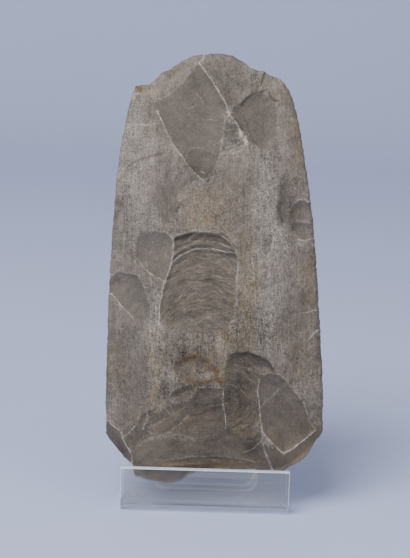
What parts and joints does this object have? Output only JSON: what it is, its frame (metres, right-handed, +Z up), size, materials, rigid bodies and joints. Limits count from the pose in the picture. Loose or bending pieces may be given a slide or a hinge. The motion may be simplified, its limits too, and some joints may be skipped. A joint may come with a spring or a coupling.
{
  "type": "stone hand axe",
  "caption": "Long ground and flaked stone axe blade with a domed butt and a thin worn cutting edge, leaning back on a small clear bent-sheet easel.",
  "frame": {"origin": "middle of the whole box, on the surface the easel stands on", "axes": "+Z up, -Y towards the viewer of the flaked face, +X to that viewer's right"},
  "size_m": [0.0762, 0.064, 0.1557],
  "materials": {
    "stone": "grey-brown fine stone, ground with fine scratches and worn, flake scars darker, rust stains",
    "clear_sheet": "clear colourless acrylic sheet, polished"
  },
  "bodies": {
    "root": {"axe": "stone", "easel": "clear_sheet"}
  },
  "joints": []
}
